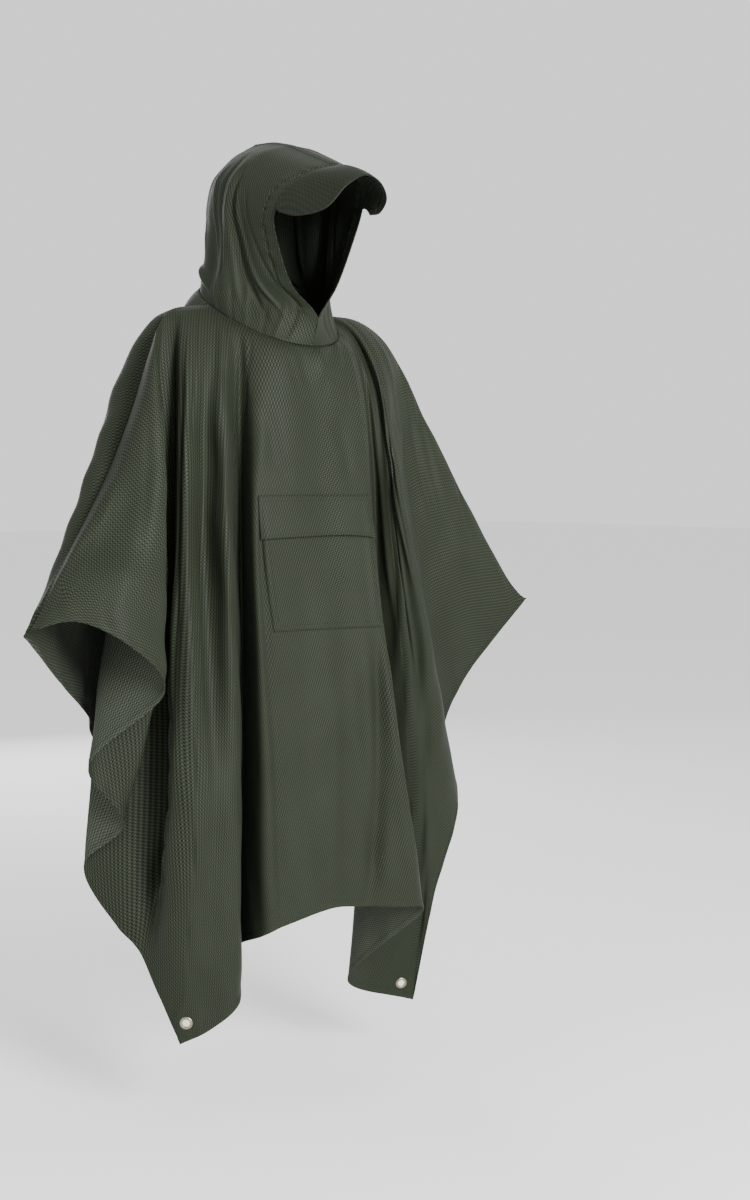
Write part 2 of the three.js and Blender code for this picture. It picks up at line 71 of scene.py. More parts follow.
# Fold lines: name, place on the top edge, plan place a third and two thirds of the way
# down, and the point on the hem
FRONT_FOLDS = [
    ("right cuff tip", -912, (-547, -112), (-547, -118), (-545, -124, -531)),
    ("right sleeve front", -760, (-486, -114), (-491, -140), (-490, -154, -520)),
    ("right sleeve inner", -580, (-386, -130), (-408, -176), (-414, -192, -562)),
    ("sleeve fold", -335, (-306, -130), (-324, -156), (-334, -166, -640)),
    ("cascade 1 out", -318, (-290, -52), (-350, -22), (-404, -42, -775)),
    ("cascade 1 in", -302, (-262, -62), (-278, -76), (-338, -42, -878)),
    ("cascade 2 out", -290, (-272, -34), (-345, 12), (-364, 46, -963)),
    ("cascade 2 in", -274, (-262, -44), (-292, -14), (-330, -4, -1062)),
    ("side valley", -260, (-230, -50), (-206, -52), (-310, -38, -1098)),
    ("side ridge", -246, (-262, -92), (-288, -112), (-298, -76, -1162)),
    ("right corner", -226, (-256, -118), (-262, -148), (-276, -113, -1252)),
    ("right valley", -196, (-206, -98), (-230, -150), (-239, -146, -1228)),
    ("right ridge", -165, (-196, -146), (-190, -162), (-188, -162, -1190)),
    ("dark valley", -135, (-116, -76), (-106, -62), (-112, -44, -1134)),
    ("panel ridge", -106, (-134, -142), (-124, -146), (-122, -146, -1086)),
    ("panel valley", -72, (-100, -152), (-72, -150), (-78, -162, -1070)),
    ("centre front", 0, (-2, -160), (-4, -172), (0, -188, -1050)),
    ("left panel valley", 50, (46, -168), (46, -182), (56, -192, -1056)),
    ("left panel ridge", 80, (76, -174), (86, -200), (125, -222, -1063)),
    ("left panel edge", 102, (96, -176), (124, -206), (181, -224, -1074)),
    ("left deep valley", 140, (172, -102), (176, -72), (160, -32, -1250)),
    ("left corner", 168, (180, -140), (240, -120), (297, -66, -1306)),
    ("left side hem", 186, (180, -150), (246, -146), (304, -118, -1092)),
    ("left ridge", 206, (178, -158), (254, -164), (362, -122, -918)),
    ("left side valley", 290, (254, -92), (304, -92), (394, -44, -795)),
    ("left sleeve inner", 470, (340, -108), (380, -100), (428, -62, -700)),
    ("left sleeve front", 700, (450, -112), (470, -106), (486, -82, -622)),
    ("left cuff tip", 912, (547, -112), (547, -118), (547, -122, -533)),
]
BACK_FOLDS = [
    ("right cuff tip", -912, (-547, -94), (-546, -88), (-541, -82, -546)),
    ("right sleeve back", -700, (-450, -24), (-445, -18), (-438, -22, -638)),
    ("right sleeve inner", -480, (-352, 34), (-362, 46), (-356, 36, -704)),
    ("right armhole ridge", -330, (-286, 80), (-312, 88), (-322, 84, -745)),
    ("right side valley", -290, (-244, 78), (-236, 84), (-238, 86, -850)),
    ("right side ridge", -250, (-240, 132), (-262, 146), (-248, 128, -960)),
    ("right corner", -205, (-197, 124), (-200, 96), (-208, 124, -1150)),
    ("right ridge", -160, (-150, 174), (-152, 206), (-150, 216, -1075)),
    ("right valley", -110, (-100, 128), (-98, 114), (-94, 122, -1052)),
    ("right back ridge", -60, (-57, 178), (-54, 202), (-50, 222, -1042)),
    ("centre back", 0, (0, 136), (4, 126), (8, 138, -1040)),
    ("left back ridge", 65, (62, 180), (66, 208), (72, 226, -1046)),
    ("left valley", 115, (106, 126), (108, 110), (106, 112, -1060)),
    ("left ridge", 160, (156, 172), (170, 204), (182, 214, -1090)),
    ("left corner", 205, (200, 126), (220, 102), (232, 116, -1152)),
    ("left side ridge", 250, (244, 142), (280, 166), (292, 146, -985)),
    ("left side valley", 290, (246, 76), (252, 74), (268, 70, -862)),
    ("left armhole ridge", 330, (288, 80), (322, 82), (344, 70, -755)),
    ("left sleeve inner", 480, (352, 34), (370, 38), (384, 26, -704)),
    ("left sleeve back", 700, (450, -24), (450, -20), (456, -26, -632)),
    ("left cuff tip", 912, (547, -94), (546, -88), (543, -82, -546)),
]

# Hood sections: face edge, widest place beside the head, centre seam behind
HOOD_SECTIONS = [
    ((0, -147, -22), (121, -4, 42), (100, 92), 2),
    ((48, -139, 33), (112, -10, 84), (101, 126), 2),
    ((80, -142, 100), (110, -18, 138), (107, 168), 2),
    ((97, -150, 158), (112, -26, 188), (107, 210), 2),
    ((88, -166, 196), (100, -40, 236), (99, 254), 2),
    ((50, -190, 222), (62, -68, 272), (76, 286), 2),
    ((0, -204, 232), (0, -72, 284), (32, 300), 1),
]
# The hood leans to the wearer's right: fall for each millimetre out from the middle,
# in full from this share of the way up
HOOD_LEAN, HOOD_LEAN_FROM = 0.135, 0.5
# place, drift, from, to, width, height of the folds from the head to the neck
HOOD_FOLDS = [
    (0.26, 0.1, 0, 0.62, 0.07, -7),
    (0.4, 0.1, 0, 0.75, 0.06, 6),
    (0.54, 0.08, 0, 0.7, 0.06, -8),
    (0.7, 0.05, 0, 0.5, 0.07, 6),
]

VISOR_FROM = 4.08  # the hood section where its root starts, counted from the neck seam
# The peak's rim from the wearer's right to the left, as it hangs
VISOR_RIM = [
    (-101, -168, 147),
    (-93, -207, 137),
    (-67, -252, 147),
    (-35, -270, 186),
    (0, -275, 205),
    (35, -270, 198),
    (66, -252, 178),
    (89, -207, 160),
    (101, -168, 162),
]
VISOR_ROOT_GAP = 0.9  # from the hood's face edge
VISOR_RISE = 5  # of its middle above a straight line from root to rim
VISOR_THICKNESS = 2.2  # cloth, board and cloth
VISOR_STITCHES = (6, 14)  # in from the rim


def mix(a, b, share):
    return a + (b - a) * share


def smooth(x):
    x = np.clip(x, 0, 1)
    return x * x * (3 - 2 * x)


def through(points, places):
    """A smooth curve through points, at places from 0 to the last point's number.
    points is (n, 3) or (n, curves, 3), and the result has places first."""
    points = np.asarray(points, float)
    places = np.clip(np.asarray(places, float), 0, len(points) - 1)
    ends = 2 * points[:1] - points[1:2], 2 * points[-1:] - points[-2:-1]
    p = np.concatenate([ends[0], points, ends[1]])
    k = np.minimum(places.astype(int), len(points) - 2)
    w = (places - k).reshape((-1,) + (1,) * (points.ndim - 1))
    p0, p1, p2, p3 = p[k], p[k + 1], p[k + 2], p[k + 3]

    def gap(a, b):
        return np.maximum(np.linalg.norm(b - a, axis=-1, keepdims=True) ** 0.5, 1e-4)

    d0, d1, d2 = gap(p0, p1), gap(p1, p2), gap(p2, p3)
    t1 = ((p1 - p0) / d0 - (p2 - p0) / (d0 + d1) + (p2 - p1) / d1) * d1
    t2 = ((p2 - p1) / d1 - (p3 - p1) / (d1 + d2) + (p3 - p2) / d2) * d1
    return p1 + w * (t1 + w * (3 * (p2 - p1) - 2 * t1 - t2 + w * (2 * (p1 - p2) + t1 + t2)))


def neck_point(turn, depth, spread):
    """A point of the neck seam: turn is 0 at the centre and a quarter circle at the side."""
    x = (NECK_HALF_WIDTH + spread) * np.sin(turn)
    y = math.copysign(abs(depth) + spread, depth) * np.cos(turn)
    return np.stack([x, y, NECK_RISE + NECK_TILT * y], -1)


def top_edge(side, tops):
    """Points of a panel's top edge, along the neck seam and then over shoulder and arm."""
    place, out, height = np.array(SHOULDER_LINE, float).T
    far = np.abs(tops)
    depth = -NECK_FRONT if side < 0 else NECK_BACK
    neck = neck_point(far / place[0] * math.pi / 2, depth, NECK_SEAM)
    line = np.stack([out, 0 * out, height], -1)
    on_line = through(line, np.interp(far, place, np.arange(len(place))))
    arm = np.maximum(on_line[:, 0] - out[1], 0)
    x = NECK_HALF_WIDTH + NECK_SEAM + on_line[:, 0] - arm + arm * math.cos(ARM_FORWARD)
    y = -arm * math.sin(ARM_FORWARD) + side * SEAM_GAP / 2
    shoulder = np.stack([x, y, on_line[:, 2]], -1)
    points = np.where((far < place[0])[:, None], neck, shoulder)
    points[:, 0] *= np.sign(tops)
    return points


def fold_points(folds, side):
    """The six points of every fold line, from the top edge to the hem."""
    top = top_edge(side, np.array([f[1] for f in folds], float))
    third, lower = (np.array([f[k] for f in folds], float) for k in (2, 3))
    hem = np.array([f[4] for f in folds], float)
    drop = hem[:, 2] - top[:, 2]

    def level(plan, share):
        return np.concatenate([plan, (top[:, 2] + drop * share)[:, None]], 1)

    beside = np.concatenate([third[:1], third, third[-1:]])
    beside = (beside[:-2] + beside[2:]) / 2
    turned = [
        level(mix(top[:, :2], mix(third, beside, even), out), down)
        for out, down, even in ROUND
    ]
    return np.array([top, *turned, level(third, 1 / 3), level(lower, 2 / 3), hem])


def lengths(points, axis=0):
    """Distance along rows of points, from the first one."""
    steps = np.linalg.norm(np.diff(points, axis=axis), axis=-1)
    start = np.zeros_like(np.take(steps, [0], axis))
    return np.concatenate([start, np.cumsum(steps, axis)], axis)


def normals_of(grid):
    """Unit normals of a grid of points: outwards where its rows run left to right."""
    n = np.cross(np.gradient(grid, axis=0), np.gradient(grid, axis=1))
    return n / np.maximum(np.linalg.norm(n, axis=-1, keepdims=True), 1e-9)


def dip(distance, line, width):
    """The section of a soft groove or ridge: 1 on its line, and fading out to either side."""
    return np.exp(-(((distance - line) / width) ** 2))


def corner_folds(folds):
    return [k for k, fold in enumerate(folds) if fold[0].endswith("corner")]


def sharp_corners(folds, hem, places):
    """How far the hem's points move for it to turn sharply at the corners of the cut."""
    ends = [0, *corner_folds(folds), len(folds) - 1]
    sharp = np.empty((len(places), 3))
    for start, end in zip(ends, ends[1:]):
        there = (places >= start) & (places <= end)
        sharp[there] = through(hem[start : end + 1], places[there] - start)
    return sharp - through(hem, places)


UPPER_LEVELS, LOWER_LEVELS = 40, 130  # steps down the fold lines, above and below the round
MIDDLE_LEVEL = 95  # the level that shares in spreading the columns
PER_FOLD = 24  # steps from one fold line to the next
CLOSE_COLUMNS = 48  # the columns lie closer together this far from a corner of the cut
FOOT = 60  # depth of the fine rows above the hem
FOOT_ROWS = np.array(
    [60, 54, 48.5, 43.5, 39, 35, 31, 27.5, 24, 20.5, 17.5, 15.5, 13.8, 12.4, 11, 8, 4.5, 1.6, 0]
)


def panel_grid(folds, side, columns, rows):
    """The cloth of a panel as a fine grid, with the columns spread evenly along its hem
    and the last rows at set distances from it. Gives points, tops and distance to hem."""
    points = fold_points(folds, side)
    last = len(folds) - 1
    dense = np.linspace(0, last, last * PER_FOLD + 1)
    upper, lower = np.linspace(0, 2, UPPER_LEVELS), np.linspace(2, 5, LOWER_LEVELS)
    levels = np.concatenate([upper, lower[1:]])
    fine = through(points, levels).transpose(1, 0, 2)
    hem, middle = (through(fine[:, k], dense) for k in (-1, MIDDLE_LEVEL))
    along = lengths(hem)
    spread = 0.75 * along + 0.5 * lengths(middle) + 6 * dense
    for corner in corner_folds(folds):
        spread += 1.8 * np.clip(along - along[corner * PER_FOLD], -CLOSE_COLUMNS, CLOSE_COLUMNS)
    spread -= spread[0]
    places = np.interp(np.linspace(0, spread[-1], columns + 1), spread, dense)
    for corner in corner_folds(folds):
        places[np.argmin(np.abs(places - corner))] = corner
    grid = through(fine, places).transpose(1, 0, 2)
    grid += sharp_corners(folds, fine[:, -1], places) * smooth((levels - 4.6) / 0.4)[:, None, None]
    tops = np.interp(places, np.arange(last + 1), [f[1] for f in folds])
    mend = top_edge(side, tops) - grid[0]
    grid += mend * smooth(1 - levels / 0.8)[:, None, None]
    run = lengths(grid)
    whole = run[-1]
    foot_part = np.minimum(FOOT, 0.45 * whole)
    shares = np.linspace(0, 1, rows + 1) ** 1.15
    body = shares[:-1, None] * (whole - foot_part)
    foot = whole - FOOT_ROWS[:, None] / FOOT * foot_part
    wanted = np.concatenate([body, foot])
    out = np.empty((len(wanted), columns + 1, 3))
    for i in range(columns + 1):
        for axis in range(3):
            out[:, i, axis] = np.interp(wanted[:, i], run[:, i], grid[:, i, axis])
    return out, tops, whole - wanted, places


CUT_WIDTH, CUT_LENGTH = 1650, 1100  # a panel's, from the shoulder line to the hem
NECK_CUT = {-1: 150, 1: 70}  # depth of the neck's cut in the front and in the back
DRAWN_IN = 90  # over how many columns to either side a fold draws its cloth in


def cloth_coordinates(grid, tops, places, folds, side):
    """Where each point lies in the flat rectangle that the panel was cut from, in metres."""
    far = np.abs(tops)
    turn = np.minimum(far / SHOULDER_LINE[0][0], 1) * math.pi / 2
    beyond = np.maximum(far - SHOULDER_LINE[0][0], 0)
    beyond *= (CUT_WIDTH / 2 - NECK_HALF_WIDTH) / beyond.max()
    x = np.sign(tops) * (NECK_HALF_WIDTH * np.sin(turn) + beyond)
    top = np.stack([x, -NECK_CUT[side] * np.cos(turn)], -1)
    along = lengths(grid[-1])
    marks = [0, *(along[np.argmin(np.abs(places - k))] for k in corner_folds(folds)), along[-1]]
    edge = CUT_WIDTH / 2
    around = [(-edge, 0), (-edge, -CUT_LENGTH), (edge, -CUT_LENGTH), (edge, 0)]
    hem = np.stack([np.interp(along, marks, [p[k] for p in around]) for k in (0, 1)], -1)
    run = lengths(grid)
    flat = mix(top, hem, (run / run[-1])[..., None])
    # deep folds take up more cloth than lies flat there: it is drawn in from either side
    surplus = lengths(grid, 1) - lengths(flat, 1)
    window = np.hanning(2 * DRAWN_IN + 1)
    padded = np.pad(surplus, ((0, 0), (DRAWN_IN, DRAWN_IN)), mode="reflect", reflect_type="odd")
    even = np.array([np.convolve(row, window / window.sum(), "valid") for row in padded])
    direction = np.gradient(flat, axis=1)
    direction /= np.linalg.norm(direction, axis=-1, keepdims=True)
    return (flat + (surplus - even)[..., None] * direction) * MM


def placed(name, data):
    """An object in the scene for a mesh, a light or a camera."""
    piece = bpy.data.objects.new(name, data)
    bpy.context.scene.collection.objects.link(piece)
    return piece


def shell(name, outer, inner, uv, materials, keep=None):
    """A closed thin shell between two grids, with walls round its edge and its holes."""
    rows, columns = outer.shape[:2]
    count = rows * columns
    index = np.arange(count).reshape(rows, columns)
    keep = np.ones((rows - 1, columns - 1), bool) if keep is None else keep
    a, b = index[:-1, :-1], index[1:, :-1]
    c, d = index[1:, 1:], index[:-1, 1:]
    front = np.stack([a, b, c, d], -1)[keep]
    back = front[:, ::-1] + count
    edges = {}
    for quad in front:
        for k in range(4):
            edge = (quad[k], quad[(k + 1) % 4])
            if (edge[1], edge[0]) in edges:
                del edges[(edge[1], edge[0])]
            else:
                edges[edge] = True
    walls = np.array([[q, p, p + count, q + count] for p, q in edges])
    faces = np.concatenate([front, back, walls])
    points = np.concatenate([outer.reshape(-1, 3), inner.reshape(-1, 3)]) * MM
    used = np.unique(faces)
    renumber = np.zeros(len(points), int)
    renumber[used] = np.arange(len(used))
    faces = renumber[faces]
    mesh = bpy.data.meshes.new(name)
    mesh.from_pydata(points[used].tolist(), [], faces.tolist())
    uv_all = np.concatenate([uv.reshape(-1, 2), uv.reshape(-1, 2)])[used]
    layer = mesh.uv_layers.new(name="cloth")
    layer.data.foreach_set("uv", uv_all[faces.reshape(-1)].reshape(-1))
    for material in materials:
        mesh.materials.append(material)
    slots = np.zeros(len(faces), int)
    if len(materials) > 1:
        slots[len(front) : len(front) * 2] = 1
    mesh.polygons.foreach_set("material_index", slots)
    smooth_flags = np.ones(len(faces), bool)
    smooth_flags[len(front) * 2 :] = False
    mesh.polygons.foreach_set("use_smooth", smooth_flags)
    mesh.update()
    return placed(name, mesh)


# ------ materials
def linear(hexa):
    """An sRGB hex colour as linear values."""
    values = [int(hexa[k : k + 2], 16) / 255 for k in (1, 3, 5)]
    return [v / 12.92 if v <= 0.04045 else ((v + 0.055) / 1.055) ** 2.4 for v in values] + [1.0]


def add(tree, kind, inputs=None, **settings):
    """Adds a node with its settings, and its inputs as values or links."""
    node = tree.nodes.new("ShaderNode" + kind)
    for key, value in settings.items():
        setattr(node, key, value)
    for key, value in (inputs or {}).items():
        if isinstance(value, bpy.types.NodeSocket):
            tree.links.new(value, node.inputs[key])
        else:
            node.inputs[key].default_value = value
    return node


def blank(name):
    material = bpy.data.materials.new(name)
    material.use_nodes = True
    material.node_tree.nodes.clear()
    return material, material.node_tree


def two_tones(tree, factor, low, high):
    """Two sRGB hex colours, mixed by a factor."""
    colours = {"Factor": factor, "A": linear(low), "B": linear(high)}
    return add(tree, "Mix", colours, data_type="RGBA").outputs["Result"]


def finish_surface(tree, inputs):
    surface = add(tree, "BsdfPrincipled", inputs)
    add(tree, "OutputMaterial", {"Surface": surface.outputs["BSDF"]})


def coated_polyester(name, base, painted_lit_dash, relief, roughness):
    """Coated polyester with a raised diamond weave. The eye gets a soft satin sheen over slanting
    flecks, duller in the hollows of the weave. The raised dashes are painted lighter and the
    hollows darker: partly the weave's own tone, partly painted shade of its relief."""
    material, tree = blank(name)
    uv = add(tree, "UVMap", uv_map="cloth").outputs["UV"]

    def wave(pitch, lean):
        turns = 2 * math.pi / (pitch * MM)
        angle = math.radians(lean)
        direction = (math.cos(angle) * turns, math.sin(angle) * turns, 0)
        phase = add(tree, "VectorMath", {0: uv, 1: direction}, operation="DOT_PRODUCT")
        return add(tree, "Math", {0: phase.outputs["Value"]}, operation="SINE").outputs[0]

    slanted, level = wave(WEAVE_PITCH, -30), wave(WEAVE_PITCH * WEAVE_ROWS, 70)
    dashes = add(tree, "Math", {0: slanted, 1: level}, operation="MULTIPLY").outputs[0]
    weave = add(
        tree, "Math", {0: slanted, 1: 0.55, 2: dashes}, operation="MULTIPLY_ADD"
    ).outputs[0]
    weave_relief = add(
        tree,
        "MapRange",
        {"Value": weave, "From Min": -1.0, "From Max": 1.3},
        interpolation_type="SMOOTHSTEP",
    ).outputs["Result"]
    cloud = add(
        tree,
        "TexNoise",
        {"Vector": uv, "Scale": 1 / (TONE_DRIFT * MM), "Detail": 3.0, "Roughness": 0.55},
    ).outputs["Fac"]
    tone = add(
        tree,
        "MapRange",
        {"Value": cloud, "From Min": 0.3, "From Max": 0.7, "To Min": 0.93, "To Max": 1.07},
    ).outputs["Result"]
    # the colour follows the weave's relief: its own pattern, with painted shade in the hollows and
    # the raised dashes painted lighter
    colour = two_tones(tree, weave_relief, base, painted_lit_dash)
    shaded = add(tree, "HueSaturation", {"Color": colour, "Value": tone}).outputs["Color"]
    rough = add(
        tree,
        "MapRange",
        {"Value": weave_relief, "To Min": roughness + 0.1, "To Max": roughness - 0.06},
    ).outputs["Result"]
    bump = add(
        tree, "Bump", {"Height": weave_relief, "Strength": relief, "Distance": 0.0006}
    ).outputs["Normal"]
    finish_surface(
        tree,
        {
            "Base Color": shaded,
            "Roughness": rough,
            "Normal": bump,
            "IOR": 1.5,
            "Specular IOR Level": 0.09,
            "Sheen Weight": 0.02,
            "Sheen Roughness": 0.4,
        },
    )
    return material


def sewing_thread():
    """Spun polyester thread, dyed to match: the eye gets matt stitches, a little uneven in
    tone and close to the cloth's own."""
    material, tree = blank("spun_polyester_thread")
    place = add(tree, "TexCoord").outputs["Object"]
    cloud = add(
        tree, "TexNoise", {"Vector": place, "Scale": 1 / (THREAD_FLECK * MM)}
    ).outputs["Fac"]
    colour = two_tones(tree, cloud, "#141911", "#222920")
    finish_surface(tree, {"Base Color": colour, "Roughness": 0.75, "Specular IOR Level": 0.1})
    return material


def plated_brass():
    """Brass, pressed and then plated with pale nickel: the eye gets a bright warm grey ring
    with faint wiping marks."""
    material, tree = blank("nickel_plated_brass")
    place = add(tree, "TexCoord").outputs["Object"]
    marks = add(
        tree, "TexNoise", {"Vector": place, "Scale": 1 / (WIPING_MARK * MM), "Detail": 4.0}
    ).outputs["Fac"]
    rough = add(
        tree, "MapRange", {"Value": marks, "To Min": 0.22, "To Max": 0.4}
    ).outputs["Result"]
    colour = two_tones(tree, marks, "#6d6450", "#a39a82")
    finish_surface(tree, {"Base Color": colour, "Metallic": 1.0, "Roughness": rough})
    return material


# The real weave repeats about every 4.6 mm across its slanted dashes. That is too fine to
# show in the picture, so it is drawn a little coarser.
WEAVE_PITCH = 5.0
WEAVE_ROWS = 1.25  # pitch down the dashes, as a share of the pitch across them
# Sizes in mm of the cloth's drift in tone, the thread's flecks and the plating's wiping marks
TONE_DRIFT, THREAD_FLECK, WIPING_MARK = 1000 / 9, 1000 / 300, 1000 / 420

# each cloth's first colour is its hollows and its second its raised dashes, painted lighter: the
# weave's own tone with painted shade of its relief
face_cloth = coated_polyester("coated_polyester_face", "#0e120b", "#30362a", 0.22, 0.55)
peak_cloth = coated_polyester("coated_polyester_over_board", "#161a12", "#20251b", 0.08, 0.5)
inner_cloth = coated_polyester("coated_polyester_back", "#191d16", "#444a40", 0.22, 0.6)
# The cloth's back inside the hood is a darker copy of it: painted shade for the inside of the hood
hood_shaded_inner_cloth = coated_polyester(
    "coated_polyester_back_painted_shade_in_hood", "#0e110c", "#2b3027", 0.22, 0.6
)
thread = sewing_thread()
eyelet_metal = plated_brass()


def finish_piece(piece, nodes=()):
    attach(piece, "root")
    if nodes:
        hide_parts(*nodes)
    return piece


# ------ eyelets: their places come from the solids
def eyelet_places():
    places = {}
    ends = [(end, side) for end in ("front", "back") for side in ("right", "left")]
    for end, side in ends:
        name = f"grommet_{end}_{side}"
        vertices = np.array([v.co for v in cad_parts[name].data.vertices]) / MM
        centre = (vertices.min(0) + vertices.max(0)) / 2
        axis = np.linalg.svd(vertices - centre)[2][2]
        facing = -1 if end == "front" else 1
        axis *= np.sign(axis[1]) * facing
        places[name] = (centre, axis)
    return places


EYELETS = eyelet_places()
EYELET_OUTER, EYELET_HOLE = 11, 6.5  # radii of the flange and of the hole
BARREL_WALL = 1.6  # the cloth starts this far out from the hole


def flatten_at_eyelets(grid):
    """Presses the cloth flat where an eyelet's flanges clench it."""
    for centre, axis in EYELETS.values():
        away = np.linalg.norm(grid - centre, axis=-1)
        height = (grid - centre) @ axis
        near = (away < 40) & (np.abs(height) < 12)
        press = near * smooth((30 - away) / 16)
        grid -= (press * height)[..., None] * axis
    return grid


def eyelet_holes(grid):
    """Which quads of a grid lie outside the eyelets' holes; the points about a hole move
    out to the barrel."""
    middle = (grid[1:, 1:] + grid[1:, :-1] + grid[:-1, 1:] + grid[:-1, :-1]) / 4
    keep = np.ones(middle.shape[:2], bool)
    for centre, axis in EYELETS.values():
        keep &= np.linalg.norm(middle - centre, axis=-1) > EYELET_HOLE - 1
        offset = grid - centre
        radial = offset - (offset @ axis)[..., None] * axis
        r = np.linalg.norm(radial, axis=-1)
        edge = EYELET_HOLE + BARREL_WALL
        inside = (r < edge) & (np.linalg.norm(offset, axis=-1) < 14)
        grid += np.where(inside, edge / np.maximum(r, 1e-6) - 1, 0)[..., None] * radial
    return keep


# ------ front and back
# Creases: fold-line place and share of the way down at both ends, half width, height
FRONT_CREASES = [
    (8.5, 0.42, 8.0, 0.95, 15, -26),
    (9.15, 0.4, 8.45, 0.95, 6, 9),
    (14.3, 0.25, 14.7, 1.0, 8, -8),
    (18.7, 0.5, 17.2, 1.0, 13, -12),
    (19.0, 0.5, 18.5, 1.0, 16, 8),
    (14.5, 0.13, 15.35, 0.25, 14, -2.8),
    (14.15, 0.24, 14.6, 0.15, 11, 2.2),
    (16.7, 0.14, 17.4, 0.24, 11, -2.8),
    (12.9, 0.01, 12.5, 0.3, 4, 1.8),
    (12.2, 0.02, 11.9, 0.22, 3.5, -1.6),
    (11.2, 0.01, 10.8, 0.3, 4, 1.8),
    (10.5, 0.02, 10.2, 0.24, 4, -1.7),
    (9.8, 0.03, 9.7, 0.34, 5, 2.0),
    (13.8, 0.02, 13.3, 0.17, 3.5, -1.6),
    (11.8, 0.08, 11.3, 0.45, 5, 2.1),
    (12.6, 0.12, 12.4, 0.5, 5, -2.1),
    (10.9, 0.16, 10.6, 0.6, 5, -2.0),
    (9.4, 0.1, 9.3, 0.5, 5, -2.2),
    (18.9, 0.02, 19.4, 0.15, 4, -1.8),
    (20.3, 0.02, 20.8, 0.45, 7, 4.6),
    (21.1, 0.02, 21.8, 0.6, 9, -6.0),
    (21.9, 0.05, 22.5, 0.5, 8, 4.8),
    (22.7, 0.03, 23.2, 0.7, 9, -5.5),
    (23.5, 0.06, 24.0, 0.85, 9, 4.4),
    (24.1, 0.1, 24.8, 0.6, 10, -4.0),
    (16.25, 0.004, 16.3, 0.06, 11, 4.4),
    (15.6, 0.0, 15.8, 0.08, 10, -2.6),
    (16.9, 0.0, 16.8, 0.08, 10, -2.6),
    (15.3, 0.02, 15.6, 0.1, 6, -1.6),
    (16.6, 0.01, 16.3, 0.09, 6, -1.8),
    (17.8, 0.01, 17.5, 0.13, 7, -2.2),
    (13.4, 0.01, 13.7, 0.12, 7, 2.4),
    (11.6, 0.01, 11.4, 0.14, 7, -2.4),
    (12.4, 0.02, 12.1, 0.1, 6, 1.8),
    (18.6, 0.01, 18.3, 0.16, 7, 2.4),
    (19.6, 0.01, 19.8, 0.18, 7, -2.4),
    (1.5, 0.35, 2.3, 0.1, 7, 1.4),
    (0.9, 0.75, 1.6, 0.35, 6, 1.0),
    (0.5, 0.9, 0.9, 0.55, 8, -1.3),
    (2.6, 0.2, 2.2, 0.7, 14, -1.6),
    (2.2, 0.55, 1.6, 0.95, 12, 1.1),
    (25.4, 0.15, 25.9, 0.7, 10, -3.0),
    (26.2, 0.3, 26.5, 0.85, 9, 2.5),
    (24.5, 0.1, 25.1, 0.6, 12, -3.2),
    (23.4, 0.2, 23.8, 0.7, 10, 2.6),
    (10.4, 0.3, 10.7, 0.75, 10, 2.4),
    (12.4, 0.45, 12.2, 0.9, 9, -2.4),
    (11.5, 0.2, 11.3, 0.6, 11, -2.6),
    (18.6, 0.55, 18.9, 0.95, 9, 2.4),
    (16.4, 0.62, 16.1, 0.96, 14, 2.4),
    (17.2, 0.66, 17.5, 0.97, 12, -2.6),
]
BACK_CREASES = [
    (2.3, 0.15, 1.6, 0.75, 11, -3.0),
    (1.2, 0.3, 0.8, 0.85, 9, 2.4),
    (17.7, 0.12, 18.4, 0.7, 12, -3.2),
    (18.9, 0.35, 19.3, 0.85, 9, 2.2),
    (9.4, 0.03, 9.1, 0.16, 7, -2.2),
    (10.6, 0.02, 10.9, 0.2, 8, -2.4),
    (11.6, 0.04, 11.8, 0.14, 6, -1.8),
    (8.5, 0.3, 8.7, 0.7, 10, 2.2),
    (12.5, 0.4, 12.4, 0.85, 10, -2.2),
    (10.1, 0.6, 10.3, 0.96, 12, -2.6),
]


def crease(grid, places, creases):
    """Adds the creases as soft troughs and ridges."""
    normal = normals_of(grid)
    run = lengths(grid)
    down = run / run[-1]
    for place_a, down_a, place_b, down_b, width, height in creases:
        row_width = lengths(grid, 1)
        share = np.clip((down - down_a) / (down_b - down_a), 0, 1)
        target = mix(place_a, place_b, share)
        column = np.interp(target, places, np.arange(len(places)))
        rows = np.arange(len(grid))[:, None]
        low = np.minimum(column.astype(int), len(places) - 2)
        there = mix(row_width[rows, low], row_width[rows, low + 1], column - low)
        inside = (down - down_a) / (down_b - down_a)
        ends = smooth((inside + 0.08) / 0.3) * smooth((1.08 - inside) / 0.3)
        grid += (height * dip(row_width, there, width) * ends)[..., None] * normal
    return grid


WAVES, WAVE_HEIGHT = 9, 0.45


def undulate(grid, uv):
    """Soft unevenness of hanging cloth: shallow waves, longer down the cloth than across."""
    normal = normals_of(grid)
    height = 0
    for _ in range(WAVES):
        across = 2 * math.pi / rng.uniform(0.07, 0.17)
        down = 2 * math.pi / rng.uniform(0.35, 0.9) * rng.choice((-1, 1))
        phase = uv[..., 0] * across + uv[..., 1] * down + rng.uniform(0, 6.3)
        height = height + WAVE_HEIGHT * np.sin(phase)
    run = lengths(grid)
    fade = smooth(run / 60) * smooth((run[-1] - run) / 40)
    return grid + (height * fade)[..., None] * normal


def random_run(count, spacing):
    """A smooth run of random heights from -1 to 1 with the given spacing in columns."""
    knots = rng.uniform(-1, 1, int(count / spacing) + 4)
    places = np.linspace(0, len(knots) - 2.001, count)
    k = places.astype(int)
    return mix(knots[k], knots[k + 1], smooth(places - k))


HEM_TURN = 14.5  # depth of cloth turned up at the hem
STITCH_LINE = 12.4  # from the hem's edge


def hem_pucker(grid, to_hem):
    """The hem's stitching draws the cloth into small uneven puckers."""
    columns = grid.shape[1]
    fine = random_run(columns, 2.6)
    broad = random_run(columns, 9)
    above = np.exp(-np.maximum(to_hem - 12, 0) / 14)
    below = 0.35 + 0.65 * np.clip(to_hem / 12, 0, 1)
    return grid + ((1.5 * fine + 1.2 * broad) * above * below)[..., None] * normals_of(grid)


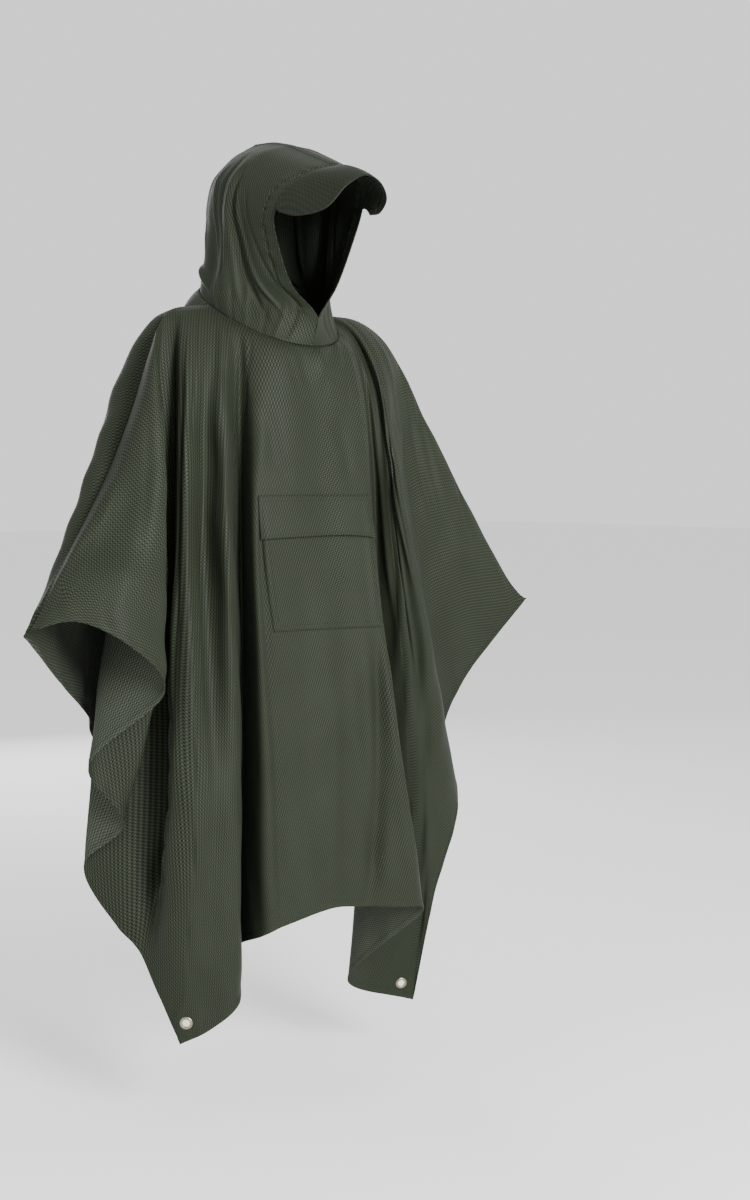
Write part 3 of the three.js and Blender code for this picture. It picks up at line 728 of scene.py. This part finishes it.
def neck_gathers(grid, tops):
    """The neck seam draws the cloth below it into short uneven gathers."""
    normal = normals_of(grid)
    run = lengths(grid)
    at_neck = smooth((NECK_HALF_WIDTH + 30 - np.abs(tops)) / 40)
    reach = 16 + 9 * random_run(len(tops), 5)
    height = 1.5 * random_run(len(tops), 2.3) + 1.3 * random_run(len(tops), 5)
    swell = smooth(run / 7) * np.exp(-run / reach)
    return grid + (at_neck * height * swell)[..., None] * normal


def layers(to_hem):
    """Thickness of the cloth: a folded hem with a groove where its stitches sink in."""
    folded = smooth((HEM_TURN - to_hem) / 1.5)
    edge = smooth(to_hem / 1.6)
    return CLOTH + folded * (0.9 * (0.35 + 0.65 * edge) - 0.8 * dip(to_hem, STITCH_LINE, 0.9))


STITCH, STITCH_GAP, THREAD_WIDTH = 2.6, 1.0, 0.5


def stitch_row(points, normals, lift):
    """Stitches along a row of points, on top of the cloth: corners of small flat bars."""
    run = lengths(points)
    starts = np.arange(STITCH_GAP, run[-1] - STITCH, STITCH + STITCH_GAP)
    if not len(starts):
        return np.zeros((0, 8, 3))

    def at(places, values):
        return np.stack([np.interp(places, run, values[:, k]) for k in range(3)], -1)

    a, b = at(starts, points), at(starts + STITCH, points)
    n = at(starts + STITCH / 2, normals)
    n /= np.linalg.norm(n, axis=-1, keepdims=True)
    along = (b - a) / np.maximum(np.linalg.norm(b - a, axis=-1, keepdims=True), 1e-9)
    side = np.cross(n, along) * THREAD_WIDTH / 2
    foot, low, high = side * 0.6, n * (lift - 0.2), n * (lift + 0.28)
    a_top, b_top = mix(a, (a + b) / 2, 0.35) + high, mix(b, (a + b) / 2, 0.35) + high
    a, b = a + low, b + low
    base = [a - foot, a + foot, b + foot, b - foot]
    top = [a_top - side, a_top + side, b_top + side, b_top - side]
    return np.stack(base + top, 1)


def line_at(distance, measure, *grids):
    """Where a measure along the rows of a grid reaches a distance: a point for each row."""
    order = np.argsort(measure, 1)
    measure = np.take_along_axis(measure, order, 1)
    lines = []
    for grid in grids:
        rows = zip(measure, np.take_along_axis(grid, order[..., None], 1))
        points = [[np.interp(distance, m, row[:, k]) for k in range(3)] for m, row in rows]
        lines.append(np.array(points))
    return lines


def stitches(name, rows):
    """One mesh of all the stitches of a seam."""
    bars = np.concatenate(rows)
    count = len(bars)
    box = np.array(
        [(0, 3, 2, 1), (4, 5, 6, 7), (0, 1, 5, 4), (1, 2, 6, 5), (2, 3, 7, 6), (3, 0, 4, 7)]
    )
    faces = (box[None] + 8 * np.arange(count)[:, None, None]).reshape(-1, 4)
    mesh = bpy.data.meshes.new(name)
    mesh.from_pydata((bars.reshape(-1, 3) * MM).tolist(), [], faces.tolist())
    mesh.materials.append(thread)
    mesh.update()
    return finish_piece(placed(name, mesh))


def make_panel(name, node, folds, side, columns, rows, creases):
    grid, tops, to_hem, places = panel_grid(folds, side, columns, rows)
    uv = cloth_coordinates(grid, tops, places, folds, side)
    grid = crease(grid, places, creases)
    grid = undulate(grid, uv)
    grid = neck_gathers(grid, tops)
    if side > 0:
        # the back is seen from behind, so its rows run from the wearer's left to the right
        grid, uv, to_hem = grid[:, ::-1].copy(), uv[:, ::-1], to_hem[:, ::-1]
    grid = hem_pucker(grid, to_hem)
    grid = flatten_at_eyelets(grid)
    keep = eyelet_holes(grid)
    normal = normals_of(grid)
    half = (layers(to_hem) / 2)[..., None] * normal
    piece = shell(name, grid + half, grid - half, uv, [face_cloth, inner_cloth], keep)
    finish_piece(piece, nodes=[node])
    row = len(grid) - len(FOOT_ROWS) + int(np.argmin(np.abs(FOOT_ROWS - STITCH_LINE)))
    points, n = grid[row], normal[row]
    sewn = [stitch_row(points, n, 0.4), stitch_row(points, -n, 0.4)]
    hem = stitches(name.replace("panel", "hem_stitching"), sewn)
    return {"grid": grid, "normal": normal, "uv": uv, "piece": piece, "places": places, "hem": hem}


front = make_panel("front_panel", "front", FRONT_FOLDS, -1, 440, 88, FRONT_CREASES)
back = make_panel("back_panel", "back", BACK_FOLDS, 1, 380, 80, BACK_CREASES)


# ------ pocket and flap
# The pocket lies over these fold-line places and heights of the front
POCKET_LEFT, POCKET_RIGHT = 14 + 1 / 3, 19.0
POCKET_TOP, POCKET_HEIGHT = -326, 234
POCKET_DRIFT = 0.17  # how far its left edge runs in by the bottom


def patch(lift, height_top, height_bottom, columns, rows, inset=0.0):
    """A rectangle of cloth over the front panel, moved out from it."""
    grid, normal, uv, places = (front[k] for k in ("grid", "normal", "uv", "places"))
    columns_at = np.arange(len(places))
    left, right = (np.interp(p, places, columns_at) for p in (POCKET_LEFT, POCKET_RIGHT))
    column = np.linspace(left + inset, right - inset, columns + 1)
    drift = POCKET_DRIFT * len(places) / places[-1]
    out = [np.empty((rows + 1, columns + 1, n)) for n in (3, 3, 2)]
    for c, place in enumerate(column):
        z = np.linspace(height_top(c / columns), height_bottom(c / columns), rows + 1)
        shift = drift * (1 - c / columns) * (POCKET_TOP - z) / POCKET_HEIGHT
        near = np.arange(int(place) - 1, int(place) + int(drift) + 4)
        for target, values in zip(out, (grid, normal, uv)):
            for axis in range(values.shape[2]):
                lines = [np.interp(-z, -grid[:, k, 2], values[:, k, axis]) for k in near]
                there = place + shift - near[0]
                low = there.astype(int)
                lines = np.array(lines)
                each = np.arange(rows + 1)
                target[:, c, axis] = mix(lines[low, each], lines[low + 1, each], there - low)
    points, normals, uv = out
    share = np.linspace(0, 1, rows + 1)[:, None]
    lifted = lift(share, np.linspace(0, 1, columns + 1)[None]) if callable(lift) else lift
    points = points + np.broadcast_to(lifted, points.shape[:2])[..., None] * normals
    return points, normals_of(points), uv


def border(rows, columns, height, width):
    """Distance in mm from each grid point to the left, right and lower edge."""
    x = np.linspace(0, width, columns + 1)[None]
    y = np.linspace(height, 0, rows + 1)[:, None]
    return np.minimum(np.minimum(x, width - x), y + 0 * x)


PATCH_COLUMNS, POCKET_ROWS, FLAP_ROWS = 64, 66, 26
POCKET_SIZE, FLAP_SIZE = (237, 222), (76, 226)  # height and width as worn
POCKET_EDGES = (-328.0, -560.0)  # height of the upper edge and of the lower
FLAP_EDGES, FLAP_ARCH = (-326.5, -402.0), 5.5
POCKET_LIFT = 0.9  # out from the panel
EDGE_TURN, EDGE_STITCHES = 9, (2, 8)  # the turned edge, and its stitch lines


def edge_layers(distance):
    """Thickness of the patches' cloth: a turned edge with a groove at each stitch line."""
    folded = smooth((EDGE_TURN + 1 - distance) / 2)
    groove = sum(dip(distance, s, 0.8) for s in EDGE_STITCHES)
    return CLOTH + folded * (0.5 * smooth(distance / 1.2 + 0.3) - 0.4 * groove)


def make_patch(name, node, rows, size, points, normal, uv):
    distance = border(rows, PATCH_COLUMNS, *size)
    half = (edge_layers(distance) / 2)[..., None] * normal
    piece = shell(name, points + half, points - half, uv, [face_cloth, inner_cloth])
    return finish_piece(piece, nodes=[node])


def make_pocket():
    upper, lower = POCKET_EDGES
    points, normal, uv = patch(
        POCKET_LIFT, lambda s: upper, lambda s: lower, PATCH_COLUMNS, POCKET_ROWS
    )
    piece = make_patch("chest_pocket", "pocket", POCKET_ROWS, POCKET_SIZE, points, normal, uv)
    rows = []
    for inset in (1, 3):
        for edge in (inset, -1 - inset):
            rows.append(stitch_row(points[:-inset, edge], normal[:-inset, edge], 0.5))
        foot = points[-1 - inset, inset:-inset], normal[-1 - inset, inset:-inset]
        rows.append(stitch_row(*foot, 0.5))
    return piece, stitches("chest_pocket_stitching", rows)


def make_flap():
    upper, lower = FLAP_EDGES

    def arch(s):
        return lower + FLAP_ARCH * math.sin(math.pi * s)

    def lift(share, across):
        return 2.0 + 5.0 * smooth((share - 0.35) / 0.65) * (0.5 + 0.5 * np.sin(math.pi * across))

    points, normal, uv = patch(lift, lambda s: upper, arch, PATCH_COLUMNS, FLAP_ROWS, inset=-1.0)
    piece = make_patch(
        "pocket_flap_cloth", "pocket_flap", FLAP_ROWS, FLAP_SIZE, points, normal, uv
    )
    rows = [stitch_row(points[1], normal[1], 0.5), stitch_row(points[3], normal[3], 0.4)]
    rows += [stitch_row(points[2:-2, k], normal[2:-2, k], 0.5) for k in (2, -3)]
    rows.append(stitch_row(points[-3, 2:-2], normal[-3, 2:-2], 0.5))
    return piece, stitches("pocket_flap_stitching", rows)


pocket, pocket_sewn = make_pocket()
flap, flap_sewn = make_flap()


# ------ hood
ROUNDING = 24  # times that each place on the hood is eased towards its neighbours
CROWN = (5, -22, 42)  # the crown's swell: height, its middle and how far it reaches


def hood_section(row, shares):
    (fx, fy, fz), (sx, sy, sz), (by, bz), late = row
    t = np.clip(shares * 2, 0, 1)
    angle = np.clip(shares - 0.5, 0, 1) * math.pi
    ahead = np.stack([mix(fx, sx, np.sin(t * math.pi / 2)), mix(fy, sy, t), mix(fz, sz, t)], -1)
    behind = np.stack(
        [sx * np.cos(angle), mix(sy, by, np.sin(angle)), mix(sz, bz, np.sin(angle) ** late)], -1
    )
    return np.where((shares < 0.5)[:, None], ahead, behind)


def meet_in_middle(grid, places):
    """Sets crown, centre seam and chin half a seam gap out from the middle."""
    grid[0, :, 0] = grid[:, -1, 0] = SEAM_GAP / 2
    grid[places <= 1, 0, 0] = SEAM_GAP / 2


def hood_grid(columns, rows, lean):
    """A half of the hood, face edge to centre seam, crown to neck, on the +X side."""
    shares = np.linspace(0, 1, columns + 1)
    neck = np.where(
        (shares < 0.5)[:, None],
        neck_point(shares * math.pi, -NECK_FRONT, 0),
        neck_point((1 - shares) * math.pi, NECK_BACK, 0),
    )
    sections = np.array([neck] + [hood_section(row, shares) for row in HOOD_SECTIONS])
    count = len(sections) - 1
    places = np.linspace(count, 0, rows + 1)
    grid = through(sections, places)
    up = (places / count)[:, None]
    grid[..., 2] += lean * smooth(up / HOOD_LEAN_FROM) * grid[..., 0]
    swell, middle, reach = CROWN
    on_top = smooth((up - 0.75) / 0.25) * dip(grid[..., 1], middle, reach)
    grid[..., 2] += swell * on_top
    for _ in range(ROUNDING):
        grid[:, 1:-1] = grid[:, 1:-1] / 2 + (grid[:, :-2] + grid[:, 2:]) / 4
    normal = normals_of(grid)
    for place, drift, start, end, width, height in HOOD_FOLDS:
        along = np.clip((up - start) / (end - start), 0, 1)
        fold = height * dip(shares[None], place + drift * up, width) * np.sin(math.pi * along)
        grid += fold[..., None] * normal
    meet_in_middle(grid, places)
    return grid, places


HOOD_COLUMNS, HOOD_ROWS = 150, 112
FACE_BAND = (24, 9)  # width of the band about the face, at the sides and over the peak
FACE_STITCH = 2.5  # in from the face edge, with a second row at the band's inner edge
SEAM_STITCHES = (1.5, 7.5)  # to either side of the centre seam
NECK_STITCH = 6  # above the neck seam


def band_width(places):
    return mix(*FACE_BAND, smooth((places - 4.6) / 1.6))


# Creases of the hood's halves, right and left: place and share of the way down at both
# ends, half width, height
HOOD_CREASES = {
    -1: [
        (0.46, 0.3, 0.19, 0.94, 5.5, -6),
        (0.41, 0.36, 0.12, 0.9, 5, 4.4),
        (0.33, 0.34, 0.08, 0.74, 5, -2.6),
        (0.53, 0.24, 0.3, 0.95, 7, 3.4),
        (0.6, 0.2, 0.44, 0.88, 6, -5),
        (0.66, 0.26, 0.53, 0.8, 6, 4.4),
        (0.76, 0.3, 0.7, 0.8, 9, 2.6),
        (0.84, 0.3, 0.8, 0.72, 6, -2.0),
        (0.05, 0.79, 0.13, 0.99, 4, -3),
        (0.11, 0.82, 0.19, 1.02, 4, 2.6),
        (0.19, 0.84, 0.24, 1.02, 4, -2.6),
        (0.27, 0.76, 0.31, 1.0, 5, 2.4),
        (0.36, 0.82, 0.37, 1.02, 4, -2.0),
        (0.47, 0.86, 0.46, 1.02, 5, 2.2),
        (0.85, 0.85, 0.58, 0.95, 20, 7),
    ],
    1: [
        (0.5, 0.24, 0.24, 0.88, 7, -3.8),
        (0.42, 0.3, 0.16, 0.82, 6, 3),
        (0.58, 0.14, 0.47, 0.8, 9, 3.6),
        (0.7, 0.1, 0.6, 0.9, 7, -3.4),
        (0.82, 0.3, 0.76, 0.74, 8, 2.6),
        (0.06, 0.81, 0.15, 0.99, 4, -2.6),
        (0.14, 0.8, 0.22, 1.02, 5, 2.8),
        (0.28, 0.86, 0.3, 1.02, 5, -2.2),
        (0.44, 0.84, 0.43, 1.02, 5, 2),
        (0.84, 0.86, 0.66, 0.95, 10, 4.5),
    ],
}


def hood_half(side):
    node = "hood_left" if side > 0 else "hood_right"
    grid, places = hood_grid(HOOD_COLUMNS, HOOD_ROWS, side * HOOD_LEAN)
    grid = crease(grid, np.linspace(0, 1, HOOD_COLUMNS + 1), HOOD_CREASES[side])
    meet_in_middle(grid, places)
    normal = normals_of(grid)
    normal[0, :, 0] = normal[:, -1, 0] = 0
    normal[places <= 1, 0, 0] = 0
    normal /= np.maximum(np.linalg.norm(normal, axis=-1, keepdims=True), 1e-9)
    from_face = lengths(grid, 1)
    from_seam = np.minimum(from_face[:, -1:] - from_face, lengths(grid))
    from_neck = lengths(grid[::-1])[::-1]
    band = band_width(places)[:, None]
    is_open = places[:, None] > 1
    hem = smooth((band + 1.5 - from_face) / 1.5) * is_open
    felled, neck_band = smooth((9 - from_seam) / 1.5), smooth((8 - from_neck) / 1.5)
    groove = is_open * (dip(from_face, FACE_STITCH, 0.9) + dip(from_face, band, 1.5))
    groove = groove + sum(dip(from_seam, s, 0.8) for s in SEAM_STITCHES)
    groove = groove + dip(from_neck, NECK_STITCH, 0.8)
    thick = CLOTH + 1.1 * np.maximum.reduce([hem, felled, neck_band]) - np.minimum(groove, 1)
    by_face, by_seam = (random_run(HOOD_ROWS + 1, spacing)[:, None] for spacing in (2.4, 2.6))
    pucker = 2.0 * by_face * dip(from_face, band, 9) * smooth(from_face / 8)
    pucker = (pucker - 1.5 * dip(from_face, band, 2.6)) * is_open
    pucker = pucker + 0.7 * by_seam * dip(from_seam, 8, 6)
    grid = grid + pucker[..., None] * normal
    uv = np.stack([from_face, -lengths(grid)], -1) * MM
    if side < 0:
        grid, normal = grid * (-1, 1, 1), normal * (-1, 1, 1)
        grid, normal, uv, thick = (a[:, ::-1] for a in (grid, normal, uv, thick))
    half = (thick / 2)[..., None] * normal
    # the hood's inside takes the darker copy of the cloth's back, painted shade
    cloths = [face_cloth, hood_shaded_inner_cloth]
    piece = shell(node + "_cloth", grid + half, grid - half, uv, cloths)
    finish_piece(piece, nodes=[node])
    return {"grid": grid, "normal": normal, "piece": piece, "places": places}


hood_left, hood_right = hood_half(1), hood_half(-1)


def hood_stitches(half, side):
    grid, normal, places = half["grid"], half["normal"], half["places"]
    if side < 0:
        grid, normal = grid[:, ::-1], normal[:, ::-1]
    is_open = places > 1.02
    from_face = lengths(grid, 1)
    from_seam = from_face[:, -1:] - from_face
    from_top, from_neck = lengths(grid), lengths(grid[::-1])[::-1]
    in_columns = grid.swapaxes(0, 1), normal.swapaxes(0, 1)
    in_bands = from_face / band_width(places)[:, None]
    sewn = []
    for measure, distance in ((from_face, FACE_STITCH), (in_bands, 1)):
        points, n = line_at(distance, measure[is_open], grid[is_open], normal[is_open])
        sewn += [stitch_row(points, n, 0.6), stitch_row(points, -n, 0.6)]
    for distance in SEAM_STITCHES:
        points, n = line_at(distance, from_seam, grid, normal)
        sewn.append(stitch_row(points[1:], n[1:], 0.55))
        sewn.append(stitch_row(*line_at(distance, from_top.T, *in_columns), 0.55))
    sewn.append(stitch_row(*line_at(NECK_STITCH, from_neck.T, *in_columns), 0.55))
    return stitches("hood_left_stitching" if side > 0 else "hood_right_stitching", sewn)


hood_sewn = [hood_stitches(hood_left, 1), hood_stitches(hood_right, -1)]


# ------ visor
def visor_grid(across, out):
    """Root to rim, from the wearer's right to the left, as the solid has it."""
    face, places = hood_grid(2, 12 * len(HOOD_SECTIONS), HOOD_LEAN)
    root = face[places >= VISOR_FROM - 1e-6, 0]
    root[:, 2] -= HOOD_LEAN * root[:, 0]
    root[0, 0] = 0
    root = np.concatenate([root[:0:-1] * (-1, 1, 1), root])
    root[:, 2] += HOOD_LEAN * root[:, 0]
    root = through(root, np.linspace(0, len(root) - 1, across + 1))
    rim = through(VISOR_RIM, np.linspace(0, len(VISOR_RIM) - 1, across + 1))
    reach = np.linalg.norm(rim - root, axis=-1, keepdims=True)
    start = mix(root, rim, VISOR_ROOT_GAP / reach)
    share = np.linspace(0, 1, out + 1)[:, None, None]
    grid = mix(start[None], rim[None], share)
    grid[..., 2] += VISOR_RISE * 4 * (share * (1 - share))[..., 0]
    return grid


def make_visor():
    grid = visor_grid(120, 34)
    normal = normals_of(grid)
    to_rim = lengths(grid[::-1])[::-1]
    round_edge = np.sqrt(np.clip(1 - (1 - np.clip(to_rim / 1.8, 0, 1)) ** 2, 0.02, 1))
    groove = sum(dip(to_rim, s, 0.8) for s in VISOR_STITCHES)
    binding = smooth((7 - to_rim) / 2)
    thick = (VISOR_THICKNESS + 0.5 * binding) * round_edge - 0.5 * groove
    half = (thick / 2)[..., None] * normal
    piece = shell("visor_peak", grid + half, grid - half, grid[..., :2] * MM, [peak_cloth])
    finish_piece(piece, nodes=["visor"])
    sewn = []
    for distance in VISOR_STITCHES:
        points, n = line_at(distance, to_rim.T, grid.swapaxes(0, 1), normal.swapaxes(0, 1))
        sewn += [stitch_row(points, n, 1.0), stitch_row(points, -n, 1.0)]
    stitches("visor_stitching", sewn)


make_visor()


# ------ eyelet rings
def make_eyelet(name):
    """A clenched eyelet: two rounded flanges joined by a barrel."""
    centre, axis = EYELETS[name]
    outer, hole = EYELET_OUTER, EYELET_HOLE
    flange = [
        (hole, 0.0),
        (hole, 1.2),
        (hole + 0.5, 1.75),
        (hole + 1.5, 1.95),
        (outer - 1.4, 1.6),
        (outer - 0.4, 1.0),
        (outer, 0.55),
        (outer - 0.2, 0.32),
        (hole + 1.0, 0.32),
    ]
    profile = flange + [(r, -h) for r, h in flange[:0:-1]]
    steps = 48
    axis = Vector(axis)
    turn = axis.to_track_quat("Z", "Y").to_matrix().to_4x4()
    place = Matrix.Translation(Vector(centre * MM)) @ turn
    points, faces = [], []
    for s in range(steps):
        a = 2 * math.pi * s / steps
        points += [
            place @ (Vector((r * math.cos(a), r * math.sin(a), h)) * MM) for r, h in profile
        ]
    count = len(profile)
    for s in range(steps):
        for k in range(count):
            a, b = s * count + k, s * count + (k + 1) % count
            c, d = ((s + 1) % steps) * count + (k + 1) % count, ((s + 1) % steps) * count + k
            faces.append((a, d, c, b))
    mesh = bpy.data.meshes.new(name + "_ring")
    mesh.from_pydata(points, [], faces)
    mesh.polygons.foreach_set("use_smooth", [True] * len(faces))
    mesh.materials.append(eyelet_metal)
    mesh.update()
    finish_piece(placed(name + "_ring", mesh), [name])


for eyelet in EYELETS:
    make_eyelet(eyelet)


# ------ floor, light and camera, all in metres
FLOOR_REACH, FLOOR_LEVEL = 30.0, -1.42


def paper_floor():
    """Matt white card: pale, even and without gloss."""
    material, tree = blank("matt_white_card")
    finish_surface(tree, {"Base Color": linear("#f4f4f4"), "Roughness": 0.9})
    mesh = bpy.data.meshes.new("floor")
    r, z = FLOOR_REACH, FLOOR_LEVEL
    mesh.from_pydata([(-r, -r, z), (r, -r, z), (r, r, z), (-r, r, z)], [], [(0, 1, 2, 3)])
    mesh.materials.append(material)
    floor = placed("floor", mesh)


paper_floor()


def softbox(name, place, aim, size, power):
    data = bpy.data.lights.new(name, "AREA")
    data.shape = "RECTANGLE"
    data.size, data.size_y = size
    data.energy = power
    light = placed(name, data)
    light.location = place
    light.rotation_euler = (Vector(aim) - Vector(place)).to_track_quat("-Z", "Y").to_euler()


softbox("key", (-0.45, -3.9, 0.8), (0, 0, -0.9), (1.2, 1.6), 318)
softbox("fill", (3.4, -1.6, 0.4), (0, 0, -0.6), (1.2, 2.4), 4)
softbox("side", (-3.8, -0.2, 0.5), (0, 0, -0.5), (0.8, 2.4), 26)
softbox("back", (1.2, 3.8, 0.4), (0, 0, -0.5), (1.8, 2.4), 70)

world = bpy.data.worlds.new("studio")
world.use_nodes = True
world.node_tree.nodes["Background"].inputs["Color"].default_value = (1, 1, 1, 1)
world.node_tree.nodes["Background"].inputs["Strength"].default_value = 1.2
bpy.context.scene.world = world

# The photograph's view: 37 degrees to the wearer's right, from 3 m, a little above the
# lower edge of the sleeves. Lengths in the picture are in its own 750 by 1200 pixels.
VIEW_TURN = math.radians(-37)
VIEW_DISTANCE, VIEW_HEIGHT = 3.0, -0.30
FOCAL_PIXELS = 1650
AXIS_PIXEL, LEVEL_PIXEL = 268, 480
PICTURE = (750, 1200)

camera_data = bpy.data.cameras.new("camera")
camera_data.sensor_fit = "HORIZONTAL"
camera_data.sensor_width = 36
camera_data.lens = 36 * FOCAL_PIXELS / PICTURE[0]
camera = placed("camera", camera_data)
right = Vector((math.cos(VIEW_TURN), math.sin(VIEW_TURN), 0))
ahead = Vector((-math.sin(VIEW_TURN), math.cos(VIEW_TURN), 0))
pan = math.atan((PICTURE[0] / 2 - AXIS_PIXEL) / FOCAL_PIXELS)
tilt = math.atan((PICTURE[1] / 2 - LEVEL_PIXEL) / FOCAL_PIXELS)
level = ahead * math.cos(pan) + right * math.sin(pan)
side = right * math.cos(pan) - ahead * math.sin(pan)
facing = level * math.cos(tilt) - Vector((0, 0, 1)) * math.sin(tilt)
upward = side.cross(facing)
camera.matrix_world = Matrix(
    (
        (side.x, upward.x, -facing.x, -ahead.x * VIEW_DISTANCE),
        (side.y, upward.y, -facing.y, -ahead.y * VIEW_DISTANCE),
        (side.z, upward.z, -facing.z, VIEW_HEIGHT),
        (0, 0, 0, 1),
    )
)
bpy.context.scene.camera = camera
